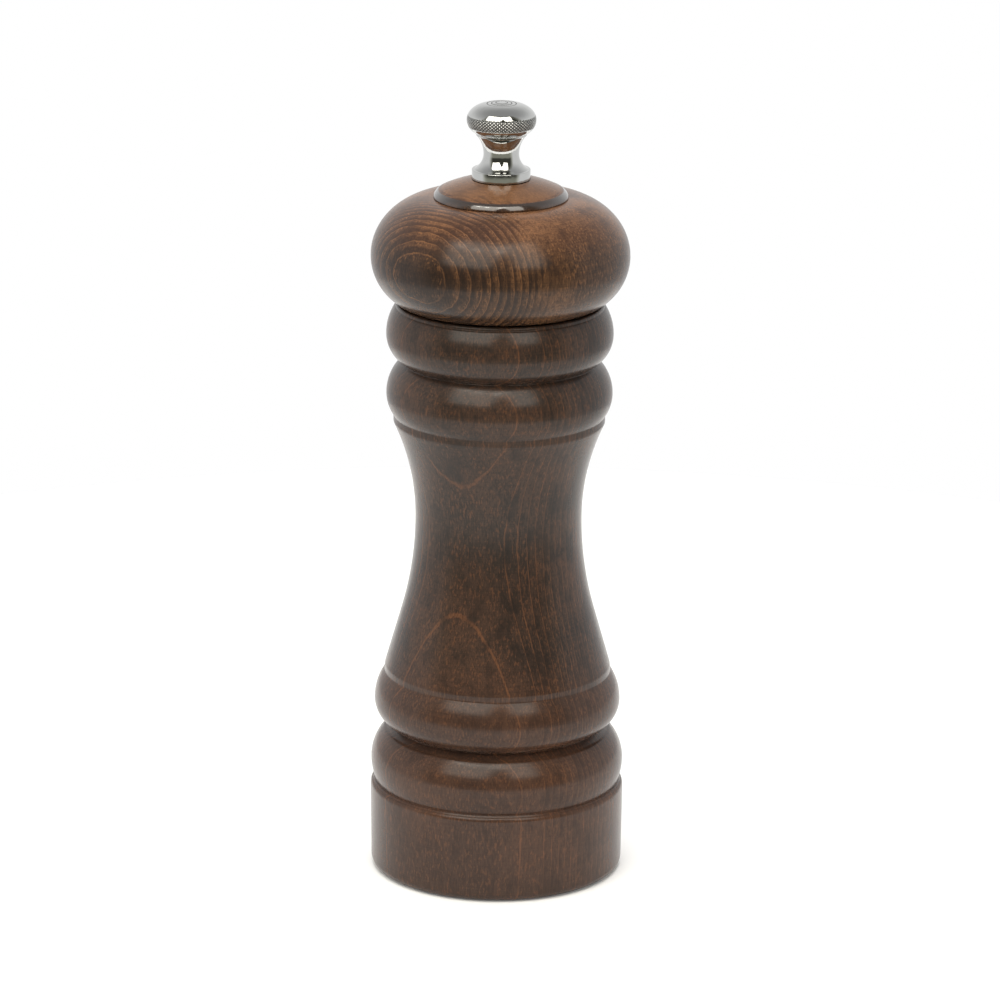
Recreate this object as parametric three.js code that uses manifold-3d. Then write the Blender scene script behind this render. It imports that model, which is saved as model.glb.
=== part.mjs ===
// Wooden pepper mill with a metal adjusting knob: a turned body and cap, and a steel grinding
// mechanism that a square shaft joins to the cap. Millimetres, +Z up, origin at the middle of the base.
import * as THREE from "three";
import { mergeVertices } from "three/addons/utils/BufferGeometryUtils.js";
import Module from "manifold-3d";

const wasm = await Module();
wasm.setup();

// ---------------------------------------------------------------- driving dimensions
const TURNED_SIDES = 40; // facets round the large turned pieces
const SMALL_SIDES = 28; // facets round washers, bushes and screws
const HOLE_SIDES = 12; // facets round pilot and screw holes
const PIN_SIDES = 16; // facets round the shaft ends and the screws
const FIT_GAP = 0.3; // clearance between neighbouring pieces
const OVERSHOOT = 1; // how far a cutting tool runs past the face that it cuts
const BOTH_SIDES = [-1, 1];
const NEAR = 0.01; // slack when a vertex height is compared with a dimension

// Body, outside: heights and radii of the turned profile.
const BASE = { footR: 26.54, topR: 26.73, round: 1.9, edgeZ: 17.3, ledgeR: 26.0, ledgeZ: 18.8 };
const GROOVE_1 = { r: 25.7, z: 19.0 };
const BEAD_4 = { r: 26.61, z: 23.59 };
const QUIRK_4 = { r: 23.8, z: 30.0 };
const GROOVE_2 = { r: 22.0, z: 31.3 };
const BEAD_3 = { r: 25.9, z: 36.7 };
const LOW_FILLET = { r: 23.76, z: 42.93, top: 44.26 };
const CONE_END = { r: 20.33, z: 56.11 };
const WAIST = { r: 17.43, z: 76.61 };
const HIGH_FILLET = { r: 22.07, z: 97.37, top: 98.93 };
const BEAD_2 = { r: 23.56, z: 103.45 };
const GROOVE_3 = { r: 20.32, z: 110.34 };
const BEAD_1 = { r: 23.62, z: 116.1 };
const SHOULDER = { r: 21.86, z: 122.0 };
const SEAM = { r: 21.2, z: 122.75 };

// Body, inside: the peppercorn bore and the seat of the mechanism.
const BORE_R = 13.5;
const SEAT_R = 15.6;
const SEAT_TOP_Z = 28.5;
const SEAT_CONE = 1.5;
const RECESS_R = 20;
const RECESS_DEPTH = 7.2;

// Cap.
const CAP_BELLY = { r: 26.86, z: 132.74 };
const CAP_TOP = { r: 13.5, z: 145.05 };
const DISC_NECK = { r: 12.8, z: 145.0 };
const DISC_EDGE = { r: 13.97, z: 145.6, under: 0.5, over: 1.5, overSweep: 60 };
const DISC_DOME = { r: 35, outerRing: 11.2, innerRing: 8.5 };
const KNOB_SEAT = { r: 6.1, z: 148.75 };
const TENON = { r: 13.1, z: 114.1, chamfer: 0.8 };
const CAP_BORE_R = 3.9;

// Adjusting knob, from its foot up: flared neck, collar, then a mushroom head with a knurled band.
const KNOB_FOOT = { r: 6.05, z: 149.35, top: 151.0, round: 0.2 };
const KNOB_FLARE = { r: 5.5, z: 151.1 };
const KNOB_NECK = { r: 3.68, z: 154.2 };
const KNOB_THROAT = { r: 5.15, z: 158.1 };
const KNOB_COLLAR = { r: 5.25, low: 158.2, high: 158.4 };
const HEAD_FOOT = { r: 5.5, z: 158.7 };
const HEAD_BELLY = { r: 7.17, z: 161.4 };
const HEAD_CROWN = { domeR: 2.5, shoulderZ: 164.75, z: 165 };
const KNOB_BORE = { r: 2.8, top: 160.4 };
const KNURL = { teeth: 48, depth: 0.16, low: 159.7, high: 162.4 };
const KNOB_WASHER = { inner: 2.8, outer: 5.95, low: 148.87, high: 149.22 };

// Shaft: square bar, threaded round at both ends.
const SHAFT_SIZE = 5;
const SHAFT = { low: 1.5, squareLow: 4.8, squareHigh: 126, high: 159.2, endR: 2, topR: 2.5 };
const SHAFT_END = { lowChamfer: 0.4, highChamfer: 0.5, overlap: 0.5 };
const CLIP_GROOVE = { r: 2.35, low: 27.1, high: 28.5 };
const CLIP = { inner: 2.65, outer: 5.4, low: 27.4, high: 28.2, mouth: 4.2, sides: 24 };

// Turn plate in the cap, with its two screws.
const TURN_PLATE = { r: 10.2, low: 112.3, high: 113.8, hole: 5.7 };
const TURN_SCREW = { at: 7, headR: 2, headTop: 112.0, headHeight: 1, shankR: 1, top: 120 };

// Grinding mechanism.
const ROTOR = { low: 5, bandTop: 8, high: 14.6, hubR: 5.4, lowR: 10.3, bandR: 9.2, coreR: 5.2, boreR: 2 };
const ROTOR_ROUND = { r: 0.6, z: 0.4 };
const ROTOR_CONE = [
  { r: 8.6, z: 9.4 },
  { r: 8.0, z: 10.8 },
  { r: 7.3, z: 12.2 },
  { r: 6.4, z: 13.6 },
];
const ROTOR_TEETH = { fine: 36, fineDepth: 0.45, coarse: 6, coarseDepth: 3.0, twist: 1.1 };
const STATOR = { low: 3.6, flangeTop: 5.6, high: 15, flangeR: 19.6, barrelR: 12.9 };
const STATOR_BORE = [
  { r: 11.7, z: 15 },
  { r: 9.95, z: 12.4 },
  { r: 9.95, z: 10.2 },
  { r: 9.95, z: 8 },
  { r: 10.65, z: 5.8 },
  { r: 11.35, z: 3.6 },
];
const STATOR_TEETH = { fine: 30, fineDepth: 0.4, fineTop: 8, coarse: 10, coarseDepth: 1.0, outerR: 11.4 };
const ROTOR_WASHER = { inner: 2.3, outer: 4.6, low: 3.9, high: 4.6 };
const ROTOR_NUT = { across: 7, low: 1.8, high: 3.6, hole: 2.3 };
const SPRING = { r: 4.65, wire: 0.5, low: 14.9, high: 22.0, turns: 4.5, stepsPerTurn: 16 };
const SPRING_WASHER = { inner: 3.85, outer: 5.6, low: 22.3, high: 22.9 };
const BRIDGE = { width: 11, sheet: 1, under: 24.2, legX: 14.2, footLow: 5.9, footX: 18.9, hole: 4.5 };
const BUSH = { inner: 3.85, barrel: 4.2, flange: 5.6, low: 23.2, flangeTop: 23.9, high: 26.0 };
const BOTTOM_PLATE = { low: 2.3, high: 3.3, inner: 12, outer: 19.6 };
const BOTTOM_SCREW = { at: 17.35, headR: 2.2, headLow: 1.0, shankR: 1.2, top: 19 };
const SCREW_SHAPE = { crownR: 0.6, shoulderR: 0.93, shoulderRise: 0.4, tip: 2.5 };
const SCREW_SLOT = { length: 1.1, width: 0.5, depth: 0.5 };

// ---------------------------------------------------------------- materials
const metalLook = (color, roughness) =>
  new THREE.MeshStandardMaterial({ color, roughness, metalness: 1 });
const plainLook = (color, roughness) =>
  new THREE.MeshStandardMaterial({ color, roughness, metalness: 0 });
const WALNUT_STAIN = plainLook(0x4f3a2e, 0.42);
const CAP_STAIN = plainLook(0x6b4b38, 0.42);
const CHROME = metalLook(0xd9dadb, 0.08);
const STEEL = metalLook(0xa9acad, 0.3);
const HARD_STEEL = metalLook(0x6d6e70, 0.38);
const SPRING_STEEL = metalLook(0x8c8d90, 0.25);
const NYLON = plainLook(0x1d1c1b, 0.55);
const BRASS = metalLook(0xb9975b, 0.3);

// ---------------------------------------------------------------- outlines
const point = (r, z) => new THREE.Vector2(r, z);

// Arc between a point where the profile runs vertical (its widest or narrowest) and another point.
function arcFromVertical(vertex, end, steps) {
  const dr = end.r - vertex.r;
  const dz = end.z - vertex.z;
  const radius = (dr * dr + dz * dz) / (2 * Math.abs(dr));
  const centre = vertex.r + Math.sign(dr) * radius;
  const sweep = Math.atan2(Math.abs(dz), radius - Math.abs(dr));
  return Array.from({ length: steps + 1 }, (_, i) => {
    const a = (sweep * i) / steps;
    return point(
      centre - Math.sign(dr) * radius * Math.cos(a),
      vertex.z + Math.sign(dz) * radius * Math.sin(a),
    );
  });
}

// The same arc, walked from its far end to the vertical point.
const arcToVertical = (start, vertex, steps) => arcFromVertical(vertex, start, steps).reverse();

// A whole bead, from the groove below it to the one above it.
const bead = (below, widest, above, steps) => [
  ...arcToVertical(below, widest, steps),
  ...arcFromVertical(widest, above, steps).slice(1),
];

// Quarter of an ellipse, from angle a0 to a1 in degrees.
function ellipse(centreR, centreZ, semiR, semiZ, a0, a1, steps) {
  return Array.from({ length: steps + 1 }, (_, i) => {
    const a = THREE.MathUtils.degToRad(a0 + ((a1 - a0) * i) / steps);
    return point(centreR + semiR * Math.cos(a), centreZ + semiZ * Math.sin(a));
  });
}

// ---------------------------------------------------------------- solids
function toManifold(geometry) {
  const g = geometry.clone();
  g.deleteAttribute("normal");
  g.deleteAttribute("uv");
  const merged = mergeVertices(g, 1e-4);
  const mesh = new wasm.Mesh({
    numProp: 3,
    vertProperties: new Float32Array(merged.attributes.position.array),
    triVerts: new Uint32Array(merged.index.array),
  });
  return new wasm.Manifold(mesh);
}

function toGeometry(solid) {
  const mesh = solid.getMesh();
  const g = new THREE.BufferGeometry();
  g.setAttribute("position", new THREE.BufferAttribute(mesh.vertProperties, 3));
  g.setIndex(new THREE.BufferAttribute(mesh.triVerts, 1));
  g.computeVertexNormals();
  return g;
}

// A turned solid about +Z from an outline walked anticlockwise (outside upwards, inside downwards).
function turned(outline, sides) {
  const g = new THREE.LatheGeometry(outline, sides);
  return g.rotateX(Math.PI / 2);
}

const closed = (outline) => [...outline, outline[0].clone()];

// A plain ring or, with no inner radius, a disc.
function ring(inner, outer, low, high, sides = SMALL_SIDES) {
  const outside = [point(outer, low), point(outer, high)];
  if (inner > 0) return turned(closed([...outside, point(inner, high), point(inner, low)]), sides);
  return turned([point(0, low), ...outside, point(0, high)], sides);
}

function squareBar(size, low, high) {
  return new THREE.BoxGeometry(size, size, high - low).translate(0, 0, (low + high) / 2);
}

function cut(geometry, ...tools) {
  return toGeometry(tools.reduce((s, t) => s.subtract(toManifold(t)), toManifold(geometry)));
}

function join(geometry, ...others) {
  return toGeometry(others.reduce((s, t) => s.add(toManifold(t)), toManifold(geometry)));
}

// Moves each vertex of a turned solid outwards by shift(radius, angle, z).
function reshape(geometry, shift) {
  const p = geometry.attributes.position;
  for (let i = 0; i < p.count; i++) {
    const r = Math.hypot(p.getX(i), p.getY(i));
    const angle = Math.atan2(p.getY(i), p.getX(i));
    const grown = r + shift(r, angle, p.getZ(i));
    p.setXYZ(i, grown * Math.cos(angle), grown * Math.sin(angle), p.getZ(i));
  }
  return geometry;
}

// ---------------------------------------------------------------- wooden pieces
function bodyGeometry() {
  const outside = [
    ...ellipse(BASE.footR - BASE.round, BASE.round, BASE.round, BASE.round, -90, 0, 3),
    point(BASE.topR, BASE.edgeZ),
    ...ellipse(BASE.ledgeR, BASE.edgeZ, BASE.topR - BASE.ledgeR, BASE.ledgeZ - BASE.edgeZ, 30, 90, 2),
    ...bead(GROOVE_1, BEAD_4, QUIRK_4, 4),
    ...bead(GROOVE_2, BEAD_3, LOW_FILLET, 4),
    point(LOW_FILLET.r, LOW_FILLET.top),
    ...arcToVertical(CONE_END, WAIST, 4),
    ...arcFromVertical(WAIST, HIGH_FILLET, 5).slice(1),
    ...bead({ r: HIGH_FILLET.r, z: HIGH_FILLET.top }, BEAD_2, GROOVE_3, 4),
    ...bead(GROOVE_3, BEAD_1, SHOULDER, 4).slice(1),
    point(SEAM.r, SEAM.z),
  ];
  const inside = [
    point(BORE_R, SEAM.z),
    point(BORE_R, SEAT_TOP_Z + SEAT_CONE),
    point(SEAT_R, SEAT_TOP_Z),
    point(SEAT_R, RECESS_DEPTH),
    point(RECESS_R, RECESS_DEPTH),
    point(RECESS_R, 0),
  ];
  const shell = turned(closed([...outside, ...inside]), TURNED_SIDES);
  const pilotR = BOTTOM_SCREW.shankR + FIT_GAP;
  const pilotTop = BOTTOM_SCREW.top + FIT_GAP;
  const pilots = BOTH_SIDES.map((side) =>
    ring(0, pilotR, RECESS_DEPTH - OVERSHOOT, pilotTop, HOLE_SIDES).translate(side * BOTTOM_SCREW.at, 0, 0),
  );
  return cut(shell, ...pilots);
}

function capGeometry() {
  const { r: edgeR, z: edgeZ, under, over, overSweep } = DISC_EDGE;
  const seamZ = SEAM.z + FIT_GAP;
  const rim = [
    ...ellipse(edgeR - under, edgeZ, under, under, -80, 0, 2),
    ...ellipse(edgeR - over, edgeZ, over, over, 0, overSweep, 3).slice(1),
  ];
  const rimTop = rim.at(-1);
  const domeRise = (r) => Math.sqrt(DISC_DOME.r ** 2 - r * r);
  const domeZ = (r) => rimTop.y + domeRise(r) - domeRise(rimTop.x);
  const outside = [
    point(TENON.r - TENON.chamfer, TENON.z),
    point(TENON.r, TENON.z + TENON.chamfer),
    point(TENON.r, seamZ),
    ...arcToVertical({ r: SEAM.r, z: seamZ }, CAP_BELLY, 5),
    ...ellipse(CAP_TOP.r, CAP_BELLY.z, CAP_BELLY.r - CAP_TOP.r, CAP_TOP.z - CAP_BELLY.z, 14, 90, 6),
    point(DISC_NECK.r, DISC_NECK.z),
    ...rim,
    ...[DISC_DOME.outerRing, DISC_DOME.innerRing].map((r) => point(r, domeZ(r))),
    point(KNOB_SEAT.r, domeZ(KNOB_SEAT.r)),
    point(KNOB_SEAT.r, KNOB_SEAT.z),
    point(CAP_BORE_R, KNOB_SEAT.z),
    point(CAP_BORE_R, TENON.z),
  ];
  const shell = turned(closed(outside), TURNED_SIDES);
  const pilotR = TURN_SCREW.shankR + FIT_GAP;
  const pilotTop = TURN_SCREW.top + FIT_GAP;
  const pilots = BOTH_SIDES.map((side) =>
    ring(0, pilotR, TENON.z - OVERSHOOT, pilotTop, HOLE_SIDES).translate(0, side * TURN_SCREW.at, 0),
  );
  return cut(shell, ...pilots);
}

// ---------------------------------------------------------------- knob
function knobGeometry() {
  const { r, z, top: footTop, round } = KNOB_FOOT;
  const profile = [
    point(0, KNOB_BORE.top),
    point(KNOB_BORE.r, KNOB_BORE.top),
    point(KNOB_BORE.r, z),
    point(r - round, z),
    point(r, z + round),
    point(r, footTop - round),
    point(r - round, footTop),
    ...arcToVertical(KNOB_FLARE, KNOB_NECK, 4),
    ...arcFromVertical(KNOB_NECK, KNOB_THROAT, 3).slice(1),
    point(KNOB_COLLAR.r, KNOB_COLLAR.low),
    point(KNOB_COLLAR.r, KNOB_COLLAR.high),
    ...arcToVertical(HEAD_FOOT, HEAD_BELLY, 4),
    ...ellipse(
      HEAD_CROWN.domeR,
      HEAD_BELLY.z,
      HEAD_BELLY.r - HEAD_CROWN.domeR,
      HEAD_CROWN.shoulderZ - HEAD_BELLY.z,
      15,
      90,
      5,
    ),
    point(0, HEAD_CROWN.z),
  ];
  const knurl = (radius, angle, height) =>
    radius > KNOB_FOOT.r && height > KNURL.low && height < KNURL.high
      ? -KNURL.depth * (0.5 - 0.5 * Math.cos(KNURL.teeth * angle))
      : 0;
  return reshape(turned(profile, KNURL.teeth * 2), knurl);
}

// ---------------------------------------------------------------- shaft and what it carries
function shaftGeometry() {
  const square = squareBar(SHAFT_SIZE, SHAFT.squareLow, SHAFT.squareHigh);
  const lowInside = SHAFT.squareLow + SHAFT_END.overlap;
  const lowEnd = turned(
    [
      point(0, SHAFT.low),
      point(SHAFT.endR - SHAFT_END.lowChamfer, SHAFT.low),
      point(SHAFT.endR, SHAFT.low + SHAFT_END.lowChamfer),
      point(SHAFT.endR, lowInside),
      point(0, lowInside),
    ],
    PIN_SIDES,
  );
  const highInside = SHAFT.squareHigh - SHAFT_END.overlap;
  const thread = turned(
    [
      point(0, highInside),
      point(SHAFT.topR, highInside),
      point(SHAFT.topR, SHAFT.high - SHAFT_END.highChamfer),
      point(SHAFT.topR - SHAFT_END.highChamfer, SHAFT.high),
      point(0, SHAFT.high),
    ],
    PIN_SIDES,
  );
  const groove = ring(CLIP_GROOVE.r, SHAFT_SIZE, CLIP_GROOVE.low, CLIP_GROOVE.high, PIN_SIDES);
  return cut(join(square, lowEnd, thread), groove);
}

function clipGeometry() {
  const washer = ring(CLIP.inner, CLIP.outer, CLIP.low, CLIP.high, CLIP.sides);
  const reach = CLIP.outer + OVERSHOOT;
  const mouth = new THREE.BoxGeometry(reach, CLIP.mouth, CLIP.high - CLIP.low + 2 * OVERSHOOT);
  mouth.translate(reach / 2, 0, (CLIP.low + CLIP.high) / 2);
  return cut(washer, mouth);
}

// Cone with fine teeth round its lower band and helical ridges above it that draw corns down.
function rotorGeometry() {
  const { low, bandTop, high } = ROTOR;
  const outline = [
    point(ROTOR.boreR, low),
    point(ROTOR.lowR - ROTOR_ROUND.r, low),
    point(ROTOR.lowR, low + ROTOR_ROUND.z),
    point((ROTOR.lowR + ROTOR.bandR) / 2, (low + bandTop) / 2),
    point(ROTOR.bandR, bandTop),
    ...ROTOR_CONE.map(({ r, z }) => point(r, z)),
    point(ROTOR.hubR, high),
    point(ROTOR.boreR, high),
  ];
  const teeth = (r, angle, z) => {
    if (r < ROTOR_CONE.at(-1).r - NEAR) return 0;
    const { fine, fineDepth, coarse, coarseDepth, twist } = ROTOR_TEETH;
    if (z < bandTop + NEAR) return -fineDepth * (0.5 - 0.5 * Math.cos(fine * angle));
    const depth = Math.min(coarseDepth, r - ROTOR.coreR);
    const turn = coarse * (angle - (twist * (z - bandTop)) / (high - bandTop));
    return -depth * (0.5 - 0.5 * Math.cos(turn));
  };
  const cone = reshape(turned(closed(outline), ROTOR_TEETH.fine * 2), teeth);
  return cut(cone, squareBar(SHAFT_SIZE + 2 * FIT_GAP, low - OVERSHOOT, high + OVERSHOOT));
}

// Fixed ring with a flange: fine teeth at its lower edge, coarse grooves up to a funnel mouth.
function statorGeometry() {
  const { low, flangeTop, high, flangeR, barrelR } = STATOR;
  const outline = [
    point(flangeR, low),
    point(flangeR, flangeTop),
    point(barrelR, flangeTop),
    point(barrelR, high),
    ...STATOR_BORE.map(({ r, z }) => point(r, z)),
  ];
  const teeth = (r, angle, z) => {
    const { fine, fineDepth, fineTop, coarse, coarseDepth, outerR } = STATOR_TEETH;
    if (r > outerR || z > high - NEAR) return 0;
    if (z < fineTop + NEAR) return fineDepth * (0.5 - 0.5 * Math.cos(fine * angle));
    return coarseDepth * (0.5 - 0.5 * Math.cos(coarse * angle));
  };
  const body = reshape(turned(closed(outline), STATOR_TEETH.fine * 2), teeth);
  const holeR = BOTTOM_SCREW.shankR + FIT_GAP;
  const holes = BOTH_SIDES.map((side) =>
    ring(0, holeR, low - OVERSHOOT, flangeTop + OVERSHOOT, HOLE_SIDES).translate(side * BOTTOM_SCREW.at, 0, 0),
  );
  return cut(body, ...holes);
}

function rotorNutGeometry() {
  const { across, low, high, hole } = ROTOR_NUT;
  const hexagon = ring(0, across / Math.sqrt(3), low, high, 6);
  return cut(hexagon, ring(0, hole, low - OVERSHOOT, high + OVERSHOOT, PIN_SIDES));
}

class Helix extends THREE.Curve {
  getPoint(t, target = new THREE.Vector3()) {
    const a = t * SPRING.turns * 2 * Math.PI;
    const low = SPRING.low + SPRING.wire;
    const high = SPRING.high - SPRING.wire;
    return target.set(SPRING.r * Math.cos(a), SPRING.r * Math.sin(a), low + (high - low) * t);
  }
}

function springGeometry() {
  const section = new THREE.Shape();
  section.absarc(0, 0, SPRING.wire, 0, 2 * Math.PI);
  return new THREE.ExtrudeGeometry(section, {
    steps: Math.round(SPRING.turns * SPRING.stepsPerTurn),
    curveSegments: 3,
    extrudePath: new Helix(),
  });
}

// Bent steel strap over the stator: a flat top, two legs and two feet under the screws.
function bridgeGeometry() {
  const { width, sheet, under, legX, footLow, footX, hole } = BRIDGE;
  const top = under + sheet;
  const half = [
    [footX, footLow],
    [footX, footLow + sheet],
    [legX, footLow + sheet],
    [legX, top],
  ];
  const inner = [
    [legX - sheet, under],
    [legX - sheet, footLow],
  ];
  const outline = [
    ...half,
    ...half.map(([x, z]) => [-x, z]).reverse(),
    ...inner.map(([x, z]) => [-x, z]).reverse(),
    ...inner,
  ];
  const shape = new THREE.Shape(outline.map(([x, z]) => new THREE.Vector2(x, z)));
  const strap = new THREE.ExtrudeGeometry(shape, { depth: width, bevelEnabled: false });
  strap.rotateX(Math.PI / 2).translate(0, width / 2, 0);
  const footHoleR = BOTTOM_SCREW.shankR + FIT_GAP;
  const footTop = footLow + sheet + OVERSHOOT;
  return cut(
    strap,
    ring(0, hole, under - OVERSHOOT, top + OVERSHOOT, SMALL_SIDES),
    ...BOTH_SIDES.map((side) =>
      ring(0, footHoleR, footLow - OVERSHOOT, footTop, HOLE_SIDES).translate(side * BOTTOM_SCREW.at, 0, 0),
    ),
  );
}

function bushGeometry() {
  return turned(
    closed([
      point(BUSH.flange, BUSH.low),
      point(BUSH.flange, BUSH.flangeTop),
      point(BUSH.barrel, BUSH.flangeTop),
      point(BUSH.barrel, BUSH.high),
      point(BUSH.inner, BUSH.high),
      point(BUSH.inner, BUSH.low),
    ]),
    SMALL_SIDES,
  );
}

function bottomPlateGeometry() {
  const { inner, outer, low, high } = BOTTOM_PLATE;
  const plate = ring(inner, outer, low, high, TURNED_SIDES);
  const holeR = BOTTOM_SCREW.shankR + FIT_GAP;
  const holes = BOTH_SIDES.map((side) =>
    ring(0, holeR, low - OVERSHOOT, high + OVERSHOOT, HOLE_SIDES).translate(side * BOTTOM_SCREW.at, 0, 0),
  );
  return cut(plate, ...holes);
}

function turnPlateGeometry() {
  const { r, low, high, hole } = TURN_PLATE;
  const [toolLow, toolHigh] = [low - OVERSHOOT, high + OVERSHOOT];
  const holeR = TURN_SCREW.shankR + FIT_GAP;
  const holes = BOTH_SIDES.map((side) =>
    ring(0, holeR, toolLow, toolHigh, HOLE_SIDES).translate(0, side * TURN_SCREW.at, 0),
  );
  return cut(ring(0, r, low, high, TURNED_SIDES), squareBar(hole, toolLow, toolHigh), ...holes);
}

// Wood screw pointing up: domed cross-slotted head below, tapering shank above.
function screwGeometry(headR, headLow, headHigh, shankR, top) {
  const headHeight = headHigh - headLow;
  const { crownR, shoulderR, shoulderRise, tip } = SCREW_SHAPE;
  const screw = turned(
    [
      point(0, headLow),
      point(headR * crownR, headLow),
      point(headR * shoulderR, headLow + headHeight * shoulderRise),
      point(headR, headHigh),
      point(shankR, headHigh),
      point(shankR, top - tip),
      point(0, top),
    ],
    PIN_SIDES,
  );
  const { length, width, depth } = SCREW_SLOT;
  const slots = [0, Math.PI / 2].map((a) =>
    new THREE.BoxGeometry(headR * length, width, 2 * headHeight * depth).rotateZ(a).translate(0, 0, headLow),
  );
  return cut(screw, ...slots);
}

// ---------------------------------------------------------------- assembly
const mill = new THREE.Group();

function add(parent, name, geometry, material) {
  const mesh = new THREE.Mesh(geometry, material);
  mesh.name = name;
  parent.add(mesh);
  return mesh;
}

const fixed = new THREE.Group();
add(fixed, "body", bodyGeometry(), WALNUT_STAIN);
add(fixed, "stator", statorGeometry(), HARD_STEEL);
add(fixed, "bridge", bridgeGeometry(), STEEL);
add(fixed, "bridge_bush", bushGeometry(), BRASS);
add(fixed, "bottom_plate", bottomPlateGeometry(), STEEL);
BOTH_SIDES.forEach((side, i) => {
  const screw = screwGeometry(
    BOTTOM_SCREW.headR,
    BOTTOM_SCREW.headLow,
    BOTTOM_PLATE.low - FIT_GAP,
    BOTTOM_SCREW.shankR,
    BOTTOM_SCREW.top,
  );
  add(fixed, "bottom_screw_" + (i + 1), screw, STEEL).position.x = side * BOTTOM_SCREW.at;
});

const grinding = new THREE.Group();
add(grinding, "shaft", shaftGeometry(), STEEL);
add(grinding, "rotor", rotorGeometry(), HARD_STEEL);
const { inner: washerIn, outer: washerOut } = ROTOR_WASHER;
add(grinding, "rotor_washer", ring(washerIn, washerOut, ROTOR_WASHER.low, ROTOR_WASHER.high), STEEL);
add(grinding, "rotor_nut", rotorNutGeometry(), STEEL);
add(grinding, "shaft_clip", clipGeometry(), SPRING_STEEL);
add(grinding, "spring", springGeometry(), SPRING_STEEL);
const { inner: thrustIn, outer: thrustOut } = SPRING_WASHER;
add(grinding, "spring_washer", ring(thrustIn, thrustOut, SPRING_WASHER.low, SPRING_WASHER.high), BRASS);

const top = new THREE.Group();
add(top, "cap", capGeometry(), CAP_STAIN);
add(top, "turn_plate", turnPlateGeometry(), STEEL);
BOTH_SIDES.forEach((side, i) => {
  const screw = screwGeometry(
    TURN_SCREW.headR,
    TURN_SCREW.headTop - TURN_SCREW.headHeight,
    TURN_SCREW.headTop,
    TURN_SCREW.shankR,
    TURN_SCREW.top,
  );
  add(top, "turn_plate_screw_" + (i + 1), screw, STEEL).position.y = side * TURN_SCREW.at;
});
const knobWasher = ring(KNOB_WASHER.inner, KNOB_WASHER.outer, KNOB_WASHER.low, KNOB_WASHER.high, 36);
add(top, "knob_washer", knobWasher, NYLON);
add(top, "adjusting_knob", knobGeometry(), CHROME);

mill.add(fixed, grinding, top);
export default mill;
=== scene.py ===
# Looks of a turned wooden pepper mill: stained beech under satin lacquer, a chromed knob with a
# knurled head, and the steel grinding mechanism inside. Lengths are in millimetres and scaled by
# MM, except in the studio, where they are in metres.
import math

import bpy
import numpy as np
from mathutils import Matrix, Vector


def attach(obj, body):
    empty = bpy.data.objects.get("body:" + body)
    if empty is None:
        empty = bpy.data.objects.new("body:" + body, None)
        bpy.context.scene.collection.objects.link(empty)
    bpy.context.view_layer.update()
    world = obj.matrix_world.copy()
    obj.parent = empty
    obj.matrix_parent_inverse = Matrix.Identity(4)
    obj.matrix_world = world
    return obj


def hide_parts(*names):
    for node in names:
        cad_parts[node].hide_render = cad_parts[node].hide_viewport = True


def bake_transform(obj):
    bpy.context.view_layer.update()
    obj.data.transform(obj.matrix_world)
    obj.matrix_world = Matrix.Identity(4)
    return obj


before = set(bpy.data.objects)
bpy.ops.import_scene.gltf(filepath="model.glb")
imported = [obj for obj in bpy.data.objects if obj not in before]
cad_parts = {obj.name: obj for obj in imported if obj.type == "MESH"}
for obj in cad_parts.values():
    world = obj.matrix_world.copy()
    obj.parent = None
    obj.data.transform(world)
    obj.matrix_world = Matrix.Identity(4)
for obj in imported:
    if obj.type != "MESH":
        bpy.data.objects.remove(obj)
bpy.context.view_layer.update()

MM = 0.001

# -------------------------------------------------------------- outlines: (radius, height) in mm
BEAD_STEPS = 14
LEAST_TURN = 9              # a corner that turns by fewer degrees stays as it is
MOST_REACH = 0.45           # rounding takes at most this share of each neighbouring edge
ROUNDING = (0, 0.25, 0.5, 0.75, 1)


def arc_from_vertical(vertex, end, steps):
    """Arc from the point where an outline runs vertical to another point."""
    dr, dz = end[0] - vertex[0], end[1] - vertex[1]
    radius = (dr * dr + dz * dz) / (2 * abs(dr))
    centre = vertex[0] + math.copysign(radius, dr)
    sweep = math.atan2(abs(dz), radius - abs(dr))
    turns = [sweep * i / steps for i in range(steps + 1)]
    return [
        (centre - math.copysign(radius, dr) * math.cos(a),
         vertex[1] + math.copysign(radius, dz) * math.sin(a))
        for a in turns
    ]


def arc_to_vertical(start, vertex, steps):
    return arc_from_vertical(vertex, start, steps)[::-1]


def bead(below, widest, above):
    lower = arc_to_vertical(below, widest, BEAD_STEPS)
    return lower + arc_from_vertical(widest, above, BEAD_STEPS)[1:]


def ellipse(centre, semi, start, stop, steps):
    """Arc of an ellipse, from one angle in degrees to another."""
    angles = [math.radians(start + (stop - start) * i / steps) for i in range(steps + 1)]
    return [(centre[0] + semi[0] * math.cos(a), centre[1] + semi[1] * math.sin(a)) for a in angles]


def soften(outline, size):
    """Rounds each corner of a closed outline that turns by more than LEAST_TURN degrees."""
    out = []
    count = len(outline)
    for i, here in enumerate(outline):
        before, after = Vector(outline[i - 1]), Vector(outline[(i + 1) % count])
        here = Vector(here)
        back, ahead = before - here, after - here
        turn = 180 - math.degrees(back.angle(ahead)) if back.length and ahead.length else 0
        if turn < LEAST_TURN:
            out.append(tuple(here))
            continue
        reach = min(size, MOST_REACH * back.length, MOST_REACH * ahead.length)
        start, stop = here + back.normalized() * reach, here + ahead.normalized() * reach
        for t in ROUNDING:
            out.append(tuple(start * (1 - t) ** 2 + here * 2 * t * (1 - t) + stop * t * t))
    return out


def divide(outline, shares):
    """An open outline with more points: each edge gets one at each share of its length."""
    out = []
    for (r0, z0), (r1, z1) in zip(outline, outline[1:]):
        out += [(r0 + (r1 - r0) * t, z0 + (z1 - z0) * t) for t in shares]
    return out + [outline[-1]]


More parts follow.
